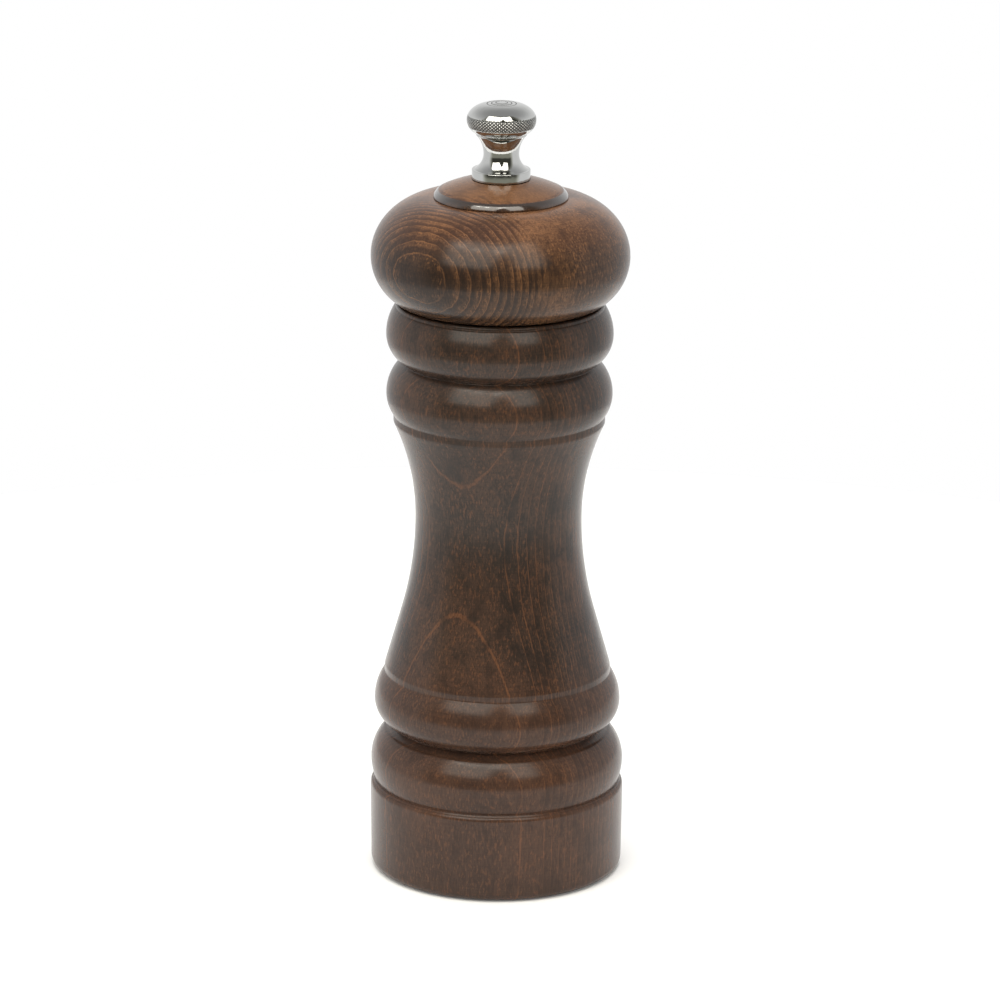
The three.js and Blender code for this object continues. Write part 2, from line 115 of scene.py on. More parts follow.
# -------------------------------------------------------------- meshes
SHARP_TURN = 32             # degrees past which an edge is shaded sharp
TOOL_SIDES, TOOL_AXIS_R = 32, 0.001
AXIS_R = 0.02               # inner radius of a solid turned piece, too thin to see


def make_object(name, verts, faces, sharp=None):
    """A smooth mesh; sharp(v, w) says whether the edge between two vertices is sharp."""
    mesh = bpy.data.meshes.new(name)
    mesh.from_pydata([tuple(v) for v in verts], [], faces)
    mesh.update()
    mesh.shade_smooth()
    if sharp is not None:
        for edge in mesh.edges:
            if sharp(*edge.vertices):
                edge.use_edge_sharp = True
    obj = bpy.data.objects.new(name, mesh)
    bpy.context.scene.collection.objects.link(obj)
    return obj


def is_corner(outline, i, least):
    """Whether a closed outline turns by more than least degrees at its point i."""
    back = Vector(outline[i]) - Vector(outline[i - 1])
    ahead = Vector(outline[(i + 1) % len(outline)]) - Vector(outline[i])
    return bool(back.length and ahead.length) and math.degrees(back.angle(ahead)) > least


def lathe(name, outline, sides, shift=None, sharp_turn=SHARP_TURN):
    """Turns a closed outline round z. shift(angles, radius, height) moves a ring's points out."""
    count = len(outline)
    angles = np.arange(sides) * 2 * math.pi / sides
    rings = []
    for r, z in outline:
        radii = np.full(sides, float(r))
        if shift is not None:
            radii = radii + shift(angles, r, z)
        heights = np.full(sides, z)
        rings.append(np.stack([radii * np.cos(angles), radii * np.sin(angles), heights], 1))
    faces = []
    for i in range(count):
        a, b = i * sides, ((i + 1) % count) * sides
        for j in range(sides):
            k = (j + 1) % sides
            faces.append((a + j, a + k, b + k, b + j))
    corner = [is_corner(outline, i, sharp_turn) for i in range(count)]

    def is_sharp(v, w):
        return v // sides == w // sides and corner[v // sides]

    return make_object(name, np.concatenate(rings) * MM, faces, is_sharp)


def carve(obj, *tools):
    """Cuts the tools out of obj and removes them."""
    for tool in tools:
        modifier = obj.modifiers.new("carve", "BOOLEAN")
        modifier.operation, modifier.solver, modifier.object = "DIFFERENCE", "EXACT", tool
    evaluated = obj.evaluated_get(bpy.context.evaluated_depsgraph_get())
    obj.data = bpy.data.meshes.new_from_object(evaluated)
    obj.modifiers.clear()
    obj.data.shade_smooth()
    obj.data.set_sharp_from_angle(angle=math.radians(SHARP_TURN))
    for tool in tools:
        bpy.data.objects.remove(tool)
    return obj


def shift_by(obj, x=0.0, y=0.0):
    obj.data.transform(Matrix.Translation((x * MM, y * MM, 0)))
    return obj


def pin(x, y, radius, low, high):
    """A plain round tool for carve(), standing at x, y."""
    outline = [(radius, low), (radius, high), (TOOL_AXIS_R, high), (TOOL_AXIS_R, low)]
    return shift_by(lathe("tool", outline, TOOL_SIDES), x, y)


def block(x_size, y_size, low, high, turn=0.0):
    """A square bar on the axis, or a tool for carve()."""
    sides = ((-1, -1), (1, -1), (1, 1), (-1, 1))
    corners = [(x * x_size / 2, y * y_size / 2, z) for z in (low, high) for x, y in sides]
    faces = [(3, 2, 1, 0), (4, 5, 6, 7), (0, 1, 5, 4), (1, 2, 6, 5), (2, 3, 7, 6), (3, 0, 4, 7)]
    obj = make_object("tool", [tuple(c * MM for c in corner) for corner in corners], faces)
    obj.data.transform(Matrix.Rotation(turn, 4, "Z"))
    return obj


# -------------------------------------------------------------- node trees
class Nodes:
    """A node tree, written as calls that return sockets."""

    def __init__(self, tree):
        self.tree = tree
        self.tree.nodes.clear()

    def put(self, socket, value):
        if isinstance(value, bpy.types.NodeSocket):
            self.tree.links.new(value, socket)
        elif value is not None:
            socket.default_value = value

    def math(self, operation, a, b=None):
        node = self.tree.nodes.new("ShaderNodeMath")
        node.operation = operation
        for socket, value in zip(node.inputs, (a, b)):
            self.put(socket, value)
        return node.outputs[0]

    def times(self, first, *more):
        for value in more:
            first = self.math("MULTIPLY", first, value)
        return first

    def plus(self, first, *more):
        for value in more:
            first = self.math("ADD", first, value)
        return first

    def minus(self, a, b):
        return self.math("SUBTRACT", a, b)

    def vector(self, operation, a, b=None, scale=None):
        node = self.tree.nodes.new("ShaderNodeVectorMath")
        node.operation = operation
        self.put(node.inputs[0], a)
        self.put(node.inputs[1], b)
        if scale is not None:
            self.put(node.inputs["Scale"], scale)
        return node.outputs["Value"] if operation in ("DOT_PRODUCT", "LENGTH") else node.outputs[0]

    def triple(self, x, y, z):
        node = self.tree.nodes.new("ShaderNodeCombineXYZ")
        for socket, value in zip(node.inputs, (x, y, z)):
            self.put(socket, value)
        return node.outputs[0]

    def noise(self, place, scale, detail=2.0, roughness=0.5, distortion=0.0):
        node = self.tree.nodes.new("ShaderNodeTexNoise")
        self.put(node.inputs["Vector"], place)
        self.put(node.inputs["Scale"], scale)
        self.put(node.inputs["Detail"], detail)
        self.put(node.inputs["Roughness"], roughness)
        self.put(node.inputs["Distortion"], distortion)
        return node.outputs["Fac"]

    def stretched_noise(self, place, factors, *look):
        """Noise whose features number factors to the millimetre along x, y and z."""
        return self.noise(self.vector("MULTIPLY", place, factors), 1.0, *look)

    def step(self, value, low, high, out_low=0.0, out_high=1.0):
        """A smooth change from out_low, where value is low, to out_high, where value is high."""
        node = self.tree.nodes.new("ShaderNodeMapRange")
        node.interpolation_type = "SMOOTHSTEP"
        for socket, v in zip(node.inputs, (value, low, high, out_low, out_high)):
            self.put(socket, v)
        return node.outputs[0]

    def between(self, share, a, b):
        """The number share of the way from a to b."""
        return self.plus(a, self.times(share, self.minus(b, a)))

    def mix(self, factor, a, b):
        """The colour factor of the way from a to b."""
        node = self.tree.nodes.new("ShaderNodeMix")
        node.data_type = "RGBA"
        self.put(node.inputs["Factor"], factor)
        self.put(node.inputs["A"], a)
        self.put(node.inputs["B"], b)
        return node.outputs["Result"]

    def bump(self, height, distance_mm, strength):
        node = self.tree.nodes.new("ShaderNodeBump")
        self.put(node.inputs["Height"], height)
        self.put(node.inputs["Distance"], distance_mm * MM)
        self.put(node.inputs["Strength"], strength)
        return node.outputs[0]


class Shader(Nodes):
    """A surface material; place is the point in millimetres."""

    def __init__(self, name):
        self.material = bpy.data.materials.new(name)
        self.material.use_nodes = True
        super().__init__(self.material.node_tree)
        output = self.tree.nodes.new("ShaderNodeOutputMaterial")
        self.surface = self.tree.nodes.new("ShaderNodeBsdfPrincipled")
        self.tree.links.new(self.surface.outputs[0], output.inputs[0])
        coords = self.tree.nodes.new("ShaderNodeTexCoord")
        self.place = self.vector("SCALE", coords.outputs["Object"], scale=1 / MM)

    def along(self, axis):
        """How far the point lies along an axis."""
        return self.vector("DOT_PRODUCT", self.place, axis)

    def off_axis(self):
        """How far the point lies from the mill's axis."""
        return self.vector("LENGTH", self.vector("MULTIPLY", self.place, (1, 1, 0)))

    def set(self, **values):
        for key, value in values.items():
            self.put(self.surface.inputs[key.replace("_", " ")], value)


def srgb(r, g, b):
    """A colour as given on screen, as the linear numbers that a shader takes."""
    def linear(v):
        v /= 255
        return v / 12.92 if v <= 0.04045 else ((v + 0.055) / 1.055) ** 2.4
    return (linear(r), linear(g), linear(b), 1.0)


# -------------------------------------------------------------- wood
# noise features per millimetre along x, y and z, the last of which runs with the grain
WANDER_GRAIN, WAVER_GRAIN = (0.05, 0.05, 0.018), (0.35, 0.35, 0.14)
LAYER_GRAIN, FIBRE_GRAIN = (2.7, 0.55, 0.33), (2.9, 2.9, 0.5)
LATHE_LINES = (0.12, 0.12, 5.0)
RAY_GRAIN, PORE_GRAIN = (2.5, 2.5, 0.8), (3.6, 3.6, 0.9)
PATCH_GRAIN, BROAD_GRAIN = (0.26, 0.26, 0.15), (0.055, 0.055, 0.035)

RING_BEND = 1 / 150         # how much a ring bends back, per millimetre squared to the side
WAVER_MM = 0.7
RINGS_BEFORE = 100          # rings added before the first, so that a ring's phase is above 0
STAIN_DEPTH, HEART_STAIN, WARM_SHARE, PORE_STAIN = 0.75, 0.62, 0.7, 0.5
RUDDY, RUDDY_SHARE = srgb(158, 88, 44), 0.045
# the last number is painted light: how far the upward-facing top of the disc is lightened
BURNT, BURNT_SHARE, DISC_TOP_PAINTED_LIGHT = srgb(26, 19, 16), 0.9, 0.4
RIM_FADE_IN, RIM_FADE_OUT = 0.35, 0.5
WOOD_SPECULAR, RIM_COAT_ROUGHNESS, RIM_COAT_IOR = 0.27, 0.1, 1.72


def ring_depth(s, eye, tilt, sway):
    """Depth into the growth rings, which are nearly flat sheets facing the direction eye, and the
    distance along such a sheet."""
    depth = s.along((math.sin(eye), -math.cos(eye), tilt))
    side = s.along((math.cos(eye), math.sin(eye), 0))
    wander = s.minus(s.stretched_noise(s.place, WANDER_GRAIN, 2.0), 0.5)
    waver = s.minus(s.stretched_noise(s.place, WAVER_GRAIN, 3.0, 0.6), 0.5)
    depth = s.minus(depth, s.times(side, side, RING_BEND))
    return s.plus(depth, s.times(wander, sway), s.times(waver, WAVER_MM)), side


def grain(s, depth, side, level):
    """Threads along the grain, alone and crossed by layers and faint lathe lines."""
    layers = s.stretched_noise(s.triple(depth, side, level), LAYER_GRAIN, 3.0, 0.66)
    fibre = s.stretched_noise(s.place, FIBRE_GRAIN, 3.0, 0.65)
    turning = s.stretched_noise(s.place, LATHE_LINES, 1.0)
    return fibre, s.plus(s.times(fibre, 0.5), s.times(turning, 0.2), s.times(layers, 0.3))


def burnt_rim(s, level, burnt):
    """How far the stain gathered on a turned edge, strongest at its top."""
    radius = s.off_axis()
    (r_low, r_high), (z_low, z_high) = burnt
    return s.times(
        s.step(radius, r_low, r_low + RIM_FADE_IN), s.step(radius, r_high, r_high - RIM_FADE_OUT),
        s.step(level, z_low, z_low + 1, 0.5, 1.0),
        s.step(level, z_low, z_low + 0.05), s.step(level, z_high, z_high - 0.08),
    )


def wood(name, eye, gap, start, tilt, sway, fade, line_strength, dark, middle, light, line, smoke,
         bands, flecks, lone=None, heart=None, ruddy=None, burnt=None):
    """Stained beech. The growth rings face the direction eye, in radians, and lie gap apart from
    start on. tilt leans them and sway bends them. Their pale lines, of strength line_strength, fade
    out over the depths in fade; lone is the depth of one line that stands apart. dark, middle and
    light are the stained wood, line its pale lines and flecks, and smoke the deepest stain. bands
    is how dark the late part of each ring is, flecks the strength of the pale rays, heart the depth
    past which the wood took more stain, ruddy the span of heights over which the stain turns
    redder, and burnt the span of radii and of heights of a turned edge where the stain gathered."""
    s = Shader(name)
    level = s.along((0, 0, 1))
    depth, side = ring_depth(s, eye, tilt, sway)
    phase = s.math("FRACT", s.math("DIVIDE", s.plus(depth, start + RINGS_BEFORE * gap), gap))
    inside = s.step(depth, *fade)
    late = s.times(s.step(phase, 0.1, 0.8), s.step(phase, 1.0, 0.9))
    thread = s.times(s.step(phase, 0.86, 0.94), s.step(phase, 1.0, 0.97), inside)
    if lone is not None:
        apart = s.step(s.math("ABSOLUTE", s.minus(depth, lone)), 0.16, 0.05)
        thread = s.math("MAXIMUM", thread, apart)
    fibre, weave = grain(s, depth, side, level)
    rays = s.step(s.stretched_noise(s.place, RAY_GRAIN, 2.0, 0.6), 0.53, 0.66)
    pores = s.step(s.stretched_noise(s.place, PORE_GRAIN, 2.0, 0.6), 0.55, 0.66)

    # where the stain sank in: soft blotches, strongest in the late part of each ring
    patch = s.stretched_noise(s.place, PATCH_GRAIN, 4.0, 0.62, 0.3)
    broad = s.stretched_noise(s.place, BROAD_GRAIN, 2.0)
    soak = s.plus(patch, s.times(late, inside, bands))
    smoky = s.times(s.step(soak, 0.48, 0.76), STAIN_DEPTH)
    if heart is not None:
        heartwood = s.times(s.step(depth, heart, heart + 0.12), HEART_STAIN)
        smoky = s.math("MAXIMUM", smoky, heartwood)

    warm = s.times(s.step(broad, 0.42, 0.62), WARM_SHARE)
    colour = s.mix(s.step(weave, 0.42, 0.58), dark, middle)
    colour = s.mix(warm, colour, s.mix(s.step(weave, 0.40, 0.56), middle, light))
    colour = s.mix(smoky, colour, smoke)
    seen = s.step(patch, 0.66, 0.42, 0.25 * line_strength, line_strength)
    colour = s.mix(s.times(thread, seen), colour, line)
    bare = s.step(soak, 0.70, 0.46, 0.2 * flecks, flecks)
    colour = s.mix(s.times(rays, bare), colour, line)
    colour = s.mix(s.times(pores, PORE_STAIN), colour, smoke)
    if ruddy:
        colour = s.mix(s.step(level, *ruddy, 0.0, RUDDY_SHARE), colour, RUDDY)
    if burnt:
        rim, top = burnt_rim(s, level, burnt), burnt[1][1]
        colour = s.mix(s.times(rim, BURNT_SHARE), colour, BURNT)
        # painted light: the upward-facing top of the disc is lightened, standing in for the
        # overhead light
        colour = s.mix(s.step(level, top - 0.1, top + 0.1, 0.0, DISC_TOP_PAINTED_LIGHT), colour, light)
        s.set(Coat_Weight=rim, Coat_Roughness=RIM_COAT_ROUGHNESS, Coat_IOR=RIM_COAT_IOR)
    height = s.minus(s.times(weave, 0.7), s.times(pores, 0.25))
    s.set(Base_Color=colour, Roughness=s.step(fibre, 0.25, 0.75, 0.27, 0.19))
    s.set(Specular_IOR_Level=WOOD_SPECULAR, Normal=s.bump(height, 0.02, 0.3))
    return s.material


# -------------------------------------------------------------- metal and plastic
LEAST_ROUGHNESS = 0.02
DULL_SHADE = 0.85
KNOB_TOP = 165.0
MARK_RINGS, MARK_WIDTH, MARK_DEPTH = (1.2, 2.1, 3.0), 0.12, 0.06
KNURL_LOW, KNURL_HIGH, KNURL_TEETH, KNURL_DEPTH = 159.95, 162.4, 56, 0.22
KNURL_SLANT = math.radians(24) / (KNURL_HIGH - KNURL_LOW)
INK, INK_ROUGHNESS = (0.012, 0.012, 0.014, 1), 0.4
# the last colour is a near-black painted shade for the knurl's grooves
KNURL_COLOUR, KNURL_GROOVE_SHADE, KNURL_ROUGHNESS = (0.45, 0.45, 0.44, 1), (0.09, 0.09, 0.087, 1), 0.12


def metal(name, colour, roughness, streaks, spread=0.08, bump_mm=0.004):
    """Plain or brushed metal: fine streaks in roughness and height, and faint handling marks."""
    s = Shader(name)
    fine = s.stretched_noise(s.place, streaks, 2.0, 0.6)
    marks = s.noise(s.place, 0.35, 3.0, 0.6)
    dull = tuple(c * DULL_SHADE for c in colour[:3]) + (1.0,)
    s.set(Base_Color=s.mix(s.step(marks, 0.35, 0.7), colour, dull), Metallic=1.0)
    low, high = max(LEAST_ROUGHNESS, roughness - spread), roughness + spread
    s.set(Roughness=s.step(fine, 0.25, 0.75, low, high), Normal=s.bump(fine, bump_mm, 0.5))
    return s.material


def painted_knurl_shade(s, height, knurled):
    """Painted shade for the knurl: 1 in its crossed grooves, 0 on its teeth and elsewhere."""
    angle = s.math("ARCTAN2", s.along((0, 1, 0)), s.along((1, 0, 0)))
    slant = s.times(s.minus(height, KNURL_LOW), KNURL_SLANT)
    tooth = 1.0
    for way in ("ADD", "SUBTRACT"):
        phase = s.math("FRACT", s.times(s.math(way, angle, slant), KNURL_TEETH / math.tau))
        tooth = s.math("MINIMUM", tooth, s.math("ABSOLUTE", s.minus(phase, 0.5)))
    return s.times(s.step(tooth, 0.26, 0.1), knurled)


def chrome(name, colour, roughness):
    """Polished plating, slightly wavy, and a duller grey on the knurled band, whose grooves are
    painted near-black as painted shade; the grooves of the mark on top are filled with black."""
    s = Shader(name)
    wipe = s.noise(s.place, 0.6, 3.0, 0.6)
    height, radius = s.along((0, 0, 1)), s.off_axis()
    above_low = s.step(height, KNURL_LOW, KNURL_LOW + 0.1)
    knurled = s.times(above_low, s.step(height, KNURL_HIGH, KNURL_HIGH - 0.1))
    groove = painted_knurl_shade(s, height, knurled)
    inked = 0.0
    for r in MARK_RINGS:
        away = s.math("ABSOLUTE", s.minus(radius, r))
        inked = s.plus(inked, s.step(away, MARK_WIDTH + 0.03, MARK_WIDTH - 0.05))
    inked = s.times(inked, s.step(height, KNOB_TOP - 1, KNOB_TOP - 0.9))
    # painted shade: the knurl's grooves are coloured near-black
    plating = s.mix(groove, s.mix(knurled, colour, KNURL_COLOUR), KNURL_GROOVE_SHADE)
    polish = s.step(wipe, 0.3, 0.7, roughness * 0.7, roughness * 1.3)
    polish = s.between(knurled, polish, KNURL_ROUGHNESS)
    s.set(Base_Color=s.mix(inked, plating, INK), Metallic=s.minus(1.0, inked))
    s.set(Roughness=s.between(inked, polish, INK_ROUGHNESS))
    s.set(Normal=s.bump(s.noise(s.place, 0.7, 1.0), 0.06, 0.5))
    return s.material


def plastic(name, colour, roughness):
    s = Shader(name)
    grit = s.noise(s.place, 3.0, 2.0)
    pale = tuple(min(1, c * 1.5 + 0.004) for c in colour[:3]) + (1.0,)
    s.set(Base_Color=s.mix(s.step(grit, 0.3, 0.7), colour, pale), Roughness=roughness)
    s.set(Normal=s.bump(grit, 0.01, 0.4))
    return s.material


BODY_WOOD = wood(
    "body_wood", eye=math.radians(-25), gap=1.62, start=0.25, tilt=0.017, sway=0.8,
    fade=(17.0, 16.3), line_strength=0.5, lone=20.22,
    dark=srgb(46, 38, 33), middle=srgb(60, 47, 40), light=srgb(74, 55, 44),
    line=srgb(116, 76, 51), smoke=srgb(38, 33, 30),
    bands=0.08, flecks=0.36, ruddy=(54.0, 38.0),
)
CAP_WOOD = wood(
    "cap_wood", eye=math.radians(-40), gap=1.38, start=0.47, tilt=0.0, sway=2.0,
    fade=(4.0, 17.0), line_strength=0.45,
    dark=srgb(50, 36, 27), middle=srgb(75, 53, 38), light=srgb(106, 75, 51),
    line=srgb(136, 94, 61), smoke=srgb(36, 28, 24),
    bands=0.33, flecks=0.4, heart=25.6, ruddy=(135.0, 142.0),
    burnt=((12.75, 15.0), (145.05, 146.9)),
)
CHROME = chrome("knob_chrome", (0.54, 0.545, 0.535, 1), 0.06)
STEEL = metal("bright_steel", (0.56, 0.565, 0.57, 1), 0.3, (0.3, 0.3, 5.0))
HARD_STEEL = metal("hardened_steel", (0.19, 0.19, 0.195, 1), 0.36, (1.5, 1.5, 1.5), 0.1, 0.02)
SPRING_STEEL = metal("spring_wire", (0.42, 0.42, 0.43, 1), 0.24, (3.0, 3.0, 3.0))
BRASS = metal("turned_brass", (0.66, 0.46, 0.19, 1), 0.26, (0.2, 0.2, 7.0))
NYLON = plastic("dark_nylon", (0.018, 0.016, 0.015, 1), 0.5)


def dress(obj, material, body=None, nodes=()):
    """Gives a piece its material and slot, the body it rides and the CAD nodes it replaces."""
    obj.data.materials.clear()
    obj.data.materials.append(material)
    if body:
        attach(obj, body)
    if nodes:
        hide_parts(*nodes)
    return obj


# -------------------------------------------------------------- body
WOOD_SIDES = 220
BASE_LEDGE = (25.95, 18.95)
GROOVE_1, GROOVE_2, GROOVE_3 = (25.7, 19.0), (22.0, 31.3), (20.32, 110.34)
WAIST = (17.43, 76.61)
SEAM_R, BODY_TOP, LIP_R = 21.2, 122.75, 0.5
BORE_R, SEAT_R, RECESS_R, RECESS_DEPTH = 13.5, 15.6, 20.0, 7.2
BODY_EDGE = 0.28


def make_body():
    outside = ellipse((24.64, 1.9), (1.9, 1.9), -90, 0, 10)
    outside += [(26.73, 17.0)]
    outside += ellipse((26.05, 17.55), (0.68, 1.1), 10, 80, 6)
    outside += [BASE_LEDGE]
    outside += bead(GROOVE_1, (26.61, 23.59), (23.85, 29.95))
    outside += [(23.3, 30.15)]
    outside += bead(GROOVE_2, (25.9, 36.7), (23.76, 42.93))
    outside += [(23.76, 44.26)]
    outside += arc_to_vertical((20.33, 56.11), WAIST, 16)
    outside += arc_from_vertical(WAIST, (22.07, 97.37), 18)[1:]
    outside += bead((22.07, 98.93), (23.56, 103.45), GROOVE_3)
    outside += bead(GROOVE_3, (23.62, 116.1), (21.95, 121.8))[1:]
    outside += [(21.7, 122.0)]
    outside += ellipse((SEAM_R, BODY_TOP - LIP_R), (LIP_R, LIP_R), 0, 90, 8)
    inside = [
        (BORE_R, BODY_TOP), (BORE_R, 30.0), (SEAT_R, 28.5),
        (SEAT_R, RECESS_DEPTH), (RECESS_R, RECESS_DEPTH), (RECESS_R, 0.0),
    ]
    body = lathe("turned_body", soften(outside + inside, BODY_EDGE), WOOD_SIDES)
    return dress(body, BODY_WOOD, "mill_body", ["body"])


# -------------------------------------------------------------- cap
CAP_BOTTOM, TENON_BOTTOM, TENON_R = 123.05, 114.1, 13.1
CAP_WIDEST = 132.74
DOME_R = 30.0
DISC_TOP = (12.62, 146.75)
CAP_HOLE_R, WASHER_SEAT = 3.9, (6.1, 148.75)
CAP_EDGE = 0.22


def dome_height(r):
    drop = math.sqrt(DOME_R ** 2 - DISC_TOP[0] ** 2)
    return DISC_TOP[1] - drop + math.sqrt(DOME_R ** 2 - r * r)


def make_cap():
    outline = [(12.3, TENON_BOTTOM), (TENON_R, 114.9), (TENON_R, CAP_BOTTOM)]
    outline += arc_to_vertical((SEAM_R, CAP_BOTTOM), (26.86, CAP_WIDEST), 22)
    outline += ellipse((13.5, CAP_WIDEST), (13.36, 12.31), 4, 90, 30)
    outline += [(13.3, 145.0)] + ellipse((13.7, 145.2), (0.25, 0.15), -80, 0, 5)
    outline += ellipse((12.01, 144.8), (2, 2), 15, 44, 12)
    outline += ellipse((11.72, 144.52), (2.4, 2.4), 44, 68, 6)[1:]
    outline += [(r, dome_height(r)) for r in (12.2, 11.4, 10.2, 9.0, 7.8, 6.8, 6.1)]
    outline += [WASHER_SEAT, (CAP_HOLE_R, WASHER_SEAT[1]), (CAP_HOLE_R, TENON_BOTTOM)]
    cap = lathe("turned_cap", soften(outline, CAP_EDGE), WOOD_SIDES)
    return dress(cap, CAP_WOOD, "cap_set", ["cap"])


# -------------------------------------------------------------- adjusting knob
KNURL_FADE = 0.15           # the grooves fade out over this height at both edges of the band
KNURL_LEAST_R = 6
TOOTH_FLAT = 1.25           # above 1, and the teeth have flat tops
CROWN_LOW = 164
CROWN_DROP, CROWN_R = 0.25, 2.5
KNOB_SHARP_TURN = 26
KNOB_BORE_R, KNOB_BORE_TOP = 2.8, 160.4


def knurl(angles, r, z):
    """Diamond knurling: two crossed sets of slanting grooves."""
    if not KNURL_LOW < z < KNURL_HIGH or r < KNURL_LEAST_R:
        return 0
    slant = KNURL_SLANT * (z - KNURL_LOW)
    edge = min(1, (z - KNURL_LOW) / KNURL_FADE, (KNURL_HIGH - z) / KNURL_FADE)
    one = np.abs(((angles + slant) * KNURL_TEETH / (2 * math.pi)) % 1 - 0.5) * 2
    two = np.abs(((angles - slant) * KNURL_TEETH / (2 * math.pi)) % 1 - 0.5) * 2
    return KNURL_DEPTH * edge * (np.minimum(TOOTH_FLAT * np.minimum(one, two), 1) - 1)


def engrave(outline, radii):
    """Cuts a small round groove into the crown at each radius."""
    section = ((1, 0), (0.5, 0.9), (0, 1), (-0.5, 0.9), (-1, 0))
    for r in radii:
        crown = [spot for spot in outline if spot[1] > CROWN_LOW]
        edges = zip(crown, crown[1:])
        (r1, z1), (r0, z0) = next(edge for edge in edges if edge[1][0] <= r <= edge[0][0])
        z = z0 + (z1 - z0) * (r - r0) / (r1 - r0)
        groove = [(r + w * MARK_WIDTH, z - d * MARK_DEPTH) for w, d in section]
        kept = [p for p in outline if p[1] < CROWN_LOW or abs(p[0] - r) > 1.3 * MARK_WIDTH]
        at = next(i for i, p in enumerate(kept) if p[1] > CROWN_LOW and p[0] < r)
        outline = kept[:at] + groove + kept[at:]
    return outline


def make_knob():
    skirt = [(KNOB_BORE_R, 149.35), (5.45, 149.35), (5.45, 148.98)]
    foot = ellipse((5.93, 149.1), (0.12, 0.12), -90, 0, 4)
    foot += ellipse((5.93, 150.88), (0.12, 0.12), 0, 90, 4) + [(5.6, 151.02)]
    neck = arc_to_vertical((5.5, 151.1), (3.68, 154.2), 16)
    neck += arc_from_vertical((3.68, 154.2), (5.15, 158.1), 16)[1:]
    neck += [(5.21, 158.15), (5.24, 158.22), (5.22, 158.3), (5.22, 158.42), (5.32, 158.56)]
    head = arc_to_vertical((5.5, 158.7), (7.17, 161.4), 44)
    head += ellipse((2.5, 161.4), (4.67, 3.35), 1.2, 88, 46)
    middle = (2.3, 2.0, 1.7, 1.4, 1.1, 0.8, 0.5, 0.2)
    crown = [(r, KNOB_TOP - CROWN_DROP * (r / CROWN_R) ** 2) for r in middle]
    outline = engrave(skirt + foot + neck + head + crown, MARK_RINGS)
    outline += [(AXIS_R, KNOB_TOP), (AXIS_R, KNOB_BORE_TOP), (KNOB_BORE_R, KNOB_BORE_TOP)]
    knob = lathe("knurled_knob", outline, 8 * KNURL_TEETH, knurl, KNOB_SHARP_TURN)
    return dress(knob, CHROME, "knob", ["adjusting_knob"])


# -------------------------------------------------------------- grinding mechanism
SCREW_AT, PLATE_SCREW_AT, SCREW_HOLE, PLATE_SCREW_HOLE = 17.35, 7.0, 1.5, 1.3
SHAFT_SIZE, SHAFT_LOW, SHAFT_HIGH, SHAFT_BEVEL = 5, 4.8, 126, 0.25
CLIP_GROOVE_R, CLIP_GROOVE_LOW, CLIP_GROOVE_HIGH = 2.35, 27.1, 28.5
THREAD_PITCH, THREAD_DEPTH, THREAD_LOW, THREAD_HIGH = 0.8, 0.32, 127, 158.6
THREAD_R, THREAD_ROWS, ROW_HEIGHT = 2.5, 327, 0.1
SOLID_R = 0.01              # inner radius of the shaft's ends
WASHER_SIDES, WASHER_EDGE = 96, 0.08
ROTOR_FINE, ROTOR_COARSE, ROTOR_TWIST = 36, 6, 1.1
STATOR_FINE, STATOR_COARSE = 30, 10
PLATE_HOLE = 2.85


def washer(name, inner, outer, low, high, material, body, node):
    outline = soften([(outer, low), (outer, high), (inner, high), (inner, low)], WASHER_EDGE)
    return dress(lathe(name, outline, WASHER_SIDES), material, body, [node])


def square_hole(half):
    """Shift that turns a round bore of radius half into a square one that wide each way."""
    def shift(angles, r, z):
        if abs(r - half) >= 0.01:
            return 0
        return half / np.maximum(np.abs(np.cos(angles)), np.abs(np.sin(angles))) - half
    return shift


def wave(count, angles):
    """count smooth hollows round a turn, from 0 on a tooth to 1 between two."""
    return 0.5 - 0.5 * np.cos(count * angles)


def make_shaft():
    def thread(angles, r, z):
        if not THREAD_LOW < z < THREAD_HIGH or r < 2:
            return 0
        turn = (angles / (2 * math.pi) - z / THREAD_PITCH) % 1
        return -THREAD_DEPTH * (np.abs(turn - 0.5) * 2)

    rows = [(THREAD_R, SHAFT_HIGH + ROW_HEIGHT * i) for i in range(THREAD_ROWS)]
    outline = [(2.0, 125.6)] + rows + [(2.1, 159.2), (SOLID_R, 159.2), (SOLID_R, 125.6)]
    dress(lathe("shaft_thread", outline, 48, thread), STEEL, "shaft_set")

    bar = block(SHAFT_SIZE, SHAFT_SIZE, SHAFT_LOW, SHAFT_HIGH)
    bar.name = "shaft_bar"
    low, high = CLIP_GROOVE_LOW, CLIP_GROOVE_HIGH
    groove = [(CLIP_GROOVE_R, low), (5, low), (5, high), (CLIP_GROOVE_R, high)]
    carve(bar, lathe("tool", groove, 64))
    bevel = bar.modifiers.new("edges", "BEVEL")
    bevel.width, bevel.segments, bevel.limit_method = SHAFT_BEVEL * MM, 3, "ANGLE"
    dress(bar, STEEL, "shaft_set")

    foot = [(1.6, 1.5), (2.0, 1.9), (2.0, 4.9), (SOLID_R, 4.9), (SOLID_R, 1.5)]
    dress(lathe("shaft_foot", foot, 48), STEEL, "shaft_set", ["shaft"])


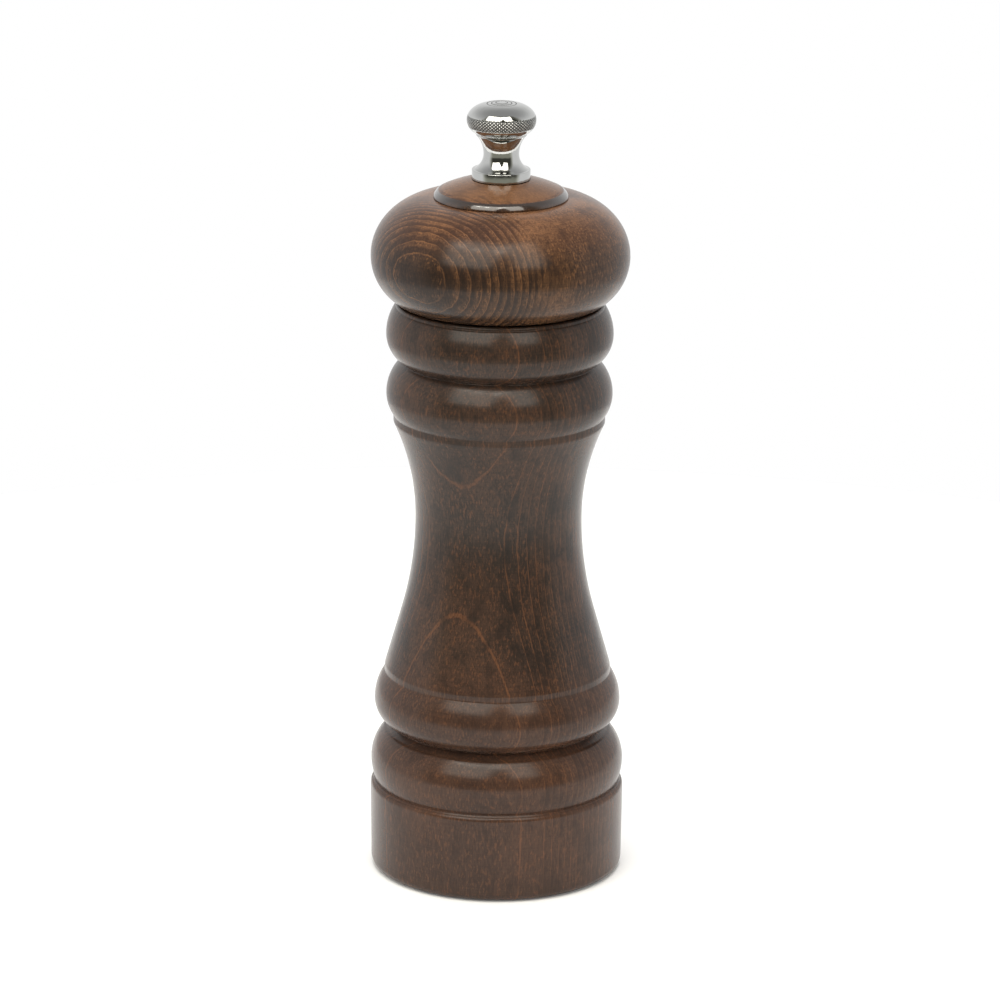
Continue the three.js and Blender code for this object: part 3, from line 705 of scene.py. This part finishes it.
def make_rotor():
    """A cone with coarse twisted teeth over a band of fine ones."""
    low, band, high = 5.0, 8.0, 14.6
    bore = 2.8
    cone = [(9.2, band), (8.6, 9.4), (8.0, 10.8), (7.3, 12.2), (6.4, 13.6), (5.4, high)]
    outline = [(bore, low), (9.7, low), (10.3, 5.4)]
    outline += [(10.3 - 1.1 * t, 5.4 + 2.6 * t) for t in (0.2, 0.4, 0.6, 0.8)]
    outline += divide(cone, (0, 0.25, 0.5, 0.75)) + [(bore, high)]
    hole = square_hole(bore)

    def teeth(angles, r, z):
        if r < 5.5:
            return hole(angles, r, z)
        if z < band + 0.01:
            return -0.45 * wave(ROTOR_FINE, angles)
        depth = min(3.0, r - 5.2)
        return -depth * wave(ROTOR_COARSE, angles - ROTOR_TWIST * (z - band) / (high - band))

    cone_piece = lathe("grinding_cone", outline, 288, teeth)
    dress(cone_piece, HARD_STEEL, "shaft_set", ["rotor"])


def make_stator():
    """A ring with coarse teeth inside over a band of fine ones."""
    high, band = 15, 8
    bore = [(11.7, high), (9.95, 12.4), (9.95, 10.2), (9.95, band), (10.65, 5.8), (11.35, 3.6)]
    outline = [(19.6, 3.6), (19.6, 5.6), (12.9, 5.6), (12.9, high)]
    outline += divide(bore, (0, 0.33, 0.67))

    def teeth(angles, r, z):
        if r > 11.4:
            return 0
        if z < band + 0.05:
            return 0.4 * wave(STATOR_FINE, angles)
        return min(1.0, (high - z) / 2) * wave(STATOR_COARSE, angles)

    ring = lathe("grinding_ring", outline, 240, teeth)
    carve(ring, *(pin(side * SCREW_AT, 0, SCREW_HOLE, 2, 7) for side in (-1, 1)))
    dress(ring, HARD_STEEL, "mill_body", ["stator"])


def make_spring():
    """Round wire, its end turns closed up."""
    turns, steps, section = 4.5, 240, 14
    low, high, radius, wire = 15.4, 21.5, 4.65, 0.5
    verts, faces = [], []
    for i in range(steps + 1):
        t = i / steps
        a = t * turns * 2 * math.pi
        ease = t - math.sin(4 * math.pi * t) / (8 * math.pi)
        centre = Vector((radius * math.cos(a), radius * math.sin(a), low + (high - low) * ease))
        out = Vector((math.cos(a), math.sin(a), 0))
        for k in range(section):
            b = k / section * 2 * math.pi
            up = Vector((0, 0, wire * math.sin(b)))
            verts.append((centre + out * wire * math.cos(b) + up) * MM)
    for i in range(steps):
        here, there = i * section, (i + 1) * section
        for k in range(section):
            m = (k + 1) % section
            faces.append((here + k, there + k, there + m, here + m))
    last = [steps * section + k for k in range(section)]
    faces += [tuple(range(section)), tuple(reversed(last))]
    spring = make_object("coil_spring", verts, faces)
    dress(spring, SPRING_STEEL, None, ["spring"])
    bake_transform(spring)


def make_screw(name, place, head_r, head_low, head_high, shank_r, top, body, node):
    """A raised-head screw with a cross recess, head down."""
    height = head_high - head_low
    outline = [(AXIS_R, head_low), (head_r * 0.45, head_low)]
    for share_r, share_z in ((0.75, 0.12), (0.94, 0.42), (1, 0.8)):
        outline.append((head_r * share_r, head_low + height * share_z))
    outline += [(head_r, head_high), (shank_r, head_high), (shank_r, top - 2.5), (AXIS_R, top)]
    screw = lathe(name, outline, 48)
    recess = (head_r * 1.15, 0.5, head_low - 1, head_low + height * 0.5)
    carve(screw, *(block(*recess, turn) for turn in (0, math.pi / 2)))
    dress(shift_by(screw, *place), STEEL, body, [node])


def make_washers():
    washer("rotor_disc", 2.3, 4.6, 3.9, 4.6, STEEL, "shaft_set", "rotor_washer")
    washer("thrust_disc", 3.85, 5.6, 22.3, 22.9, BRASS, "thrust_set", "spring_washer")
    washer("knob_disc", 2.8, 5.2, 148.87, 149.22, NYLON, "washer", "knob_washer")
    bush = [(5.6, 23.2), (5.6, 23.9), (4.2, 23.9), (4.2, 26.0), (3.85, 26.0), (3.85, 23.2)]
    bush = lathe("bush", soften(bush, WASHER_EDGE), WASHER_SIDES)
    dress(bush, BRASS, "mill_body", ["bridge_bush"])


def make_nut():
    def hexagon(angles, r, z):
        if r < 3:
            return 0
        return r / np.cos((angles + math.pi / 6) % (math.pi / 3) - math.pi / 6) - r

    nut = [(3.2, 1.8), (3.5, 2.0), (3.5, 3.4), (3.2, 3.6), (2.3, 3.6), (2.3, 1.8)]
    dress(lathe("nut", nut, 96, hexagon), STEEL, "shaft_set", ["rotor_nut"])


def make_plates():
    cover = soften([(19.6, 2.3), (19.6, 3.3), (12, 3.3), (12, 2.3)], 0.15)
    cover = lathe("cover_ring", cover, 200)
    carve(cover, *(pin(side * SCREW_AT, 0, SCREW_HOLE, 1, 5) for side in (-1, 1)))
    dress(cover, STEEL, "mill_body", ["bottom_plate"])
    drive = [(10.1, 112.3), (10.2, 112.4), (10.2, 113.7), (10.1, 113.8)]
    drive += [(PLATE_HOLE, 113.8), (PLATE_HOLE, 112.3)]
    drive = lathe("drive_plate", drive, 160, square_hole(PLATE_HOLE))
    carve(drive, *(pin(0, side * PLATE_SCREW_AT, PLATE_SCREW_HOLE, 111, 115) for side in (-1, 1)))
    dress(drive, STEEL, "cap_set", ["turn_plate"])


def make_screws():
    for i, side in enumerate((-1, 1), 1):
        make_screw(
            f"cover_screw_{i}", (side * SCREW_AT, 0), head_r=2.2, head_low=1.0, head_high=2.0,
            shank_r=1.2, top=19, body="mill_body", node=f"bottom_screw_{i}",
        )
        make_screw(
            f"drive_screw_{i}", (0, side * PLATE_SCREW_AT), head_r=2.0, head_low=111.0,
            head_high=112.0, shank_r=1.0, top=120, body="cap_set", node=f"turn_plate_screw_{i}",
        )


def make_mechanism():
    make_shaft()
    make_rotor()
    make_stator()
    make_spring()
    make_washers()
    make_nut()
    make_plates()
    make_screws()
    # these two keep the shapes of their CAD nodes
    for node, material in (("bridge", STEEL), ("shaft_clip", SPRING_STEEL)):
        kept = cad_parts[node]
        kept.data.materials.clear()
        kept.data.materials.append(material)


# -------------------------------------------------------------- studio, in metres
CAMERA_PITCH = math.radians(16.49)
CAMERA_ROLL = math.radians(0.444)
CAMERA_FAR = 1.1871
AIM = Vector((0.00028, 0, 0.07989))
LENS_MM, SENSOR_MM = 204.1, 36.0

NEUTRAL, WARM = (1, 1, 1), (1, 0.96, 0.87)
WHITE, ROOM_TINT = (1, 1, 1, 1), (1, 1, 0.82, 1)
LIGHT_AIM, LIGHT_CENTRE_Z = (0, 0, 0.09), 0.1
KEY_PLACE, KEY_SIZE, KEY_POWER = (0.0, 0.12, 1.1), 0.7, 10
SOFTBOXES = ((-32, 0.68), (28, 0.38))       # azimuth, width
SOFTBOX_ELEVATION, SOFTBOX_FAR, SOFTBOX_HEIGHT, SOFTBOX_POWER = 48, 0.9, 0.8, 11.5
LAMPS = (-55, -33, -3)                      # azimuths
LAMP_ELEVATION, LAMP_FAR, LAMP_SIZE, LAMP_POWER = 58, 0.84, 0.07, 0.2
SIDE_LIGHT, CEILING_LIGHT, ROOM_LIGHT, FLOOR_FAR_LIGHT = 0.92, 0.4, 0.06, 0.34
FLOOR_RADIUS, FLOOR_SIDES, FLOOR_Z = 0.3, 128, -0.0001
FLOOR_COLOUR, FLOOR_ROUGHNESS, FLOOR_GLOW = (0.8, 0.8, 0.8, 1), 0.8, 0.1


def make_camera():
    data = bpy.data.cameras.new("camera")
    data.lens, data.sensor_width = LENS_MM, SENSOR_MM
    camera = bpy.data.objects.new("camera", data)
    bpy.context.scene.collection.objects.link(camera)
    away = Vector((0, -math.cos(CAMERA_PITCH), math.sin(CAMERA_PITCH)))
    pitch = Matrix.Rotation(math.pi / 2 - CAMERA_PITCH, 4, "X")
    turn = pitch @ Matrix.Rotation(CAMERA_ROLL, 4, "Z")
    camera.matrix_world = Matrix.Translation(AIM + away * CAMERA_FAR) @ turn
    bpy.context.scene.camera = camera


def make_light(name, place, size, power, colour=WARM):
    data = bpy.data.lights.new(name, "AREA")
    data.shape = "RECTANGLE"
    data.size, data.size_y = size
    data.energy = power
    data.color = colour
    lamp = bpy.data.objects.new(name, data)
    bpy.context.scene.collection.objects.link(lamp)
    look = Vector(LIGHT_AIM) - Vector(place)
    turn = look.to_track_quat("-Z", "Y").to_matrix().to_4x4()
    lamp.matrix_world = Matrix.Translation(place) @ turn
    return lamp


def make_world():
    """White walls at the sides and behind, and a dark room in front. The camera sees only white."""
    world = bpy.data.worlds.new("studio")
    world.use_nodes = True
    n = Nodes(world.node_tree)
    output = n.tree.nodes.new("ShaderNodeOutputWorld")
    light = n.tree.nodes.new("ShaderNodeBackground")
    n.tree.links.new(light.outputs[0], output.inputs[0])
    way = n.tree.nodes.new("ShaderNodeTexCoord").outputs["Generated"]
    level = n.vector("NORMALIZE", n.vector("MULTIPLY", way, (1, 1, 0)))
    front = n.vector("DOT_PRODUCT", level, (0, -1, 0))
    height = n.vector("DOT_PRODUCT", way, (0, 0, 1))
    walls = n.step(height, 0.2, 1.0, SIDE_LIGHT, CEILING_LIGHT)
    room = n.times(n.step(front, 0.1, 0.6), n.step(height, 0.995, 0.9))
    in_room = n.step(height, -0.25, -0.05, FLOOR_FAR_LIGHT, ROOM_LIGHT)
    strength = n.between(room, walls, in_room)
    to_camera = n.tree.nodes.new("ShaderNodeLightPath").outputs["Is Camera Ray"]
    n.put(light.inputs["Strength"], n.between(to_camera, strength, 1.0))
    n.put(light.inputs["Color"], n.mix(n.between(to_camera, room, 0.0), WHITE, ROOM_TINT))
    bpy.context.scene.world = world


def round_mill(azimuth, elevation, distance):
    """A place round the mill, by its azimuth from the front and its elevation, in degrees."""
    a, e = math.radians(azimuth), math.radians(elevation)
    away = distance * math.cos(e)
    return (away * math.sin(a), -away * math.cos(a), LIGHT_CENTRE_Z + distance * math.sin(e))


def make_floor():
    look = Shader("pale_floor")
    look.set(Base_Color=FLOOR_COLOUR, Roughness=FLOOR_ROUGHNESS)
    look.set(Emission_Color=WHITE, Emission_Strength=FLOOR_GLOW)
    angles = [math.tau * i / FLOOR_SIDES for i in range(FLOOR_SIDES)]
    rim = [(FLOOR_RADIUS * math.cos(a), FLOOR_RADIUS * math.sin(a), 0) for a in angles]
    floor = make_object("floor", rim, [tuple(range(FLOOR_SIDES))])
    floor.location.z = FLOOR_Z
    floor.data.materials.append(look.material)


def make_lights():
    key = make_light("key", KEY_PLACE, (KEY_SIZE, KEY_SIZE), KEY_POWER, NEUTRAL)
    key.visible_glossy = False
    for i, (azimuth, width) in enumerate(SOFTBOXES, 1):
        place = round_mill(azimuth, SOFTBOX_ELEVATION, SOFTBOX_FAR)
        power = SOFTBOX_POWER * width * SOFTBOX_HEIGHT
        make_light(f"softbox_{i}", place, (width, SOFTBOX_HEIGHT), power)
    for i, azimuth in enumerate(LAMPS, 1):
        place = round_mill(azimuth, LAMP_ELEVATION, LAMP_FAR)
        make_light(f"lamp_{i}", place, (LAMP_SIZE, LAMP_SIZE), LAMP_POWER)


def make_studio():
    make_floor()
    make_world()
    make_lights()
    scene = bpy.context.scene
    scene.view_settings.view_transform = "Standard"
    scene.view_settings.look = "None"


make_camera()
make_body()
make_cap()
make_knob()
make_mechanism()
make_studio()
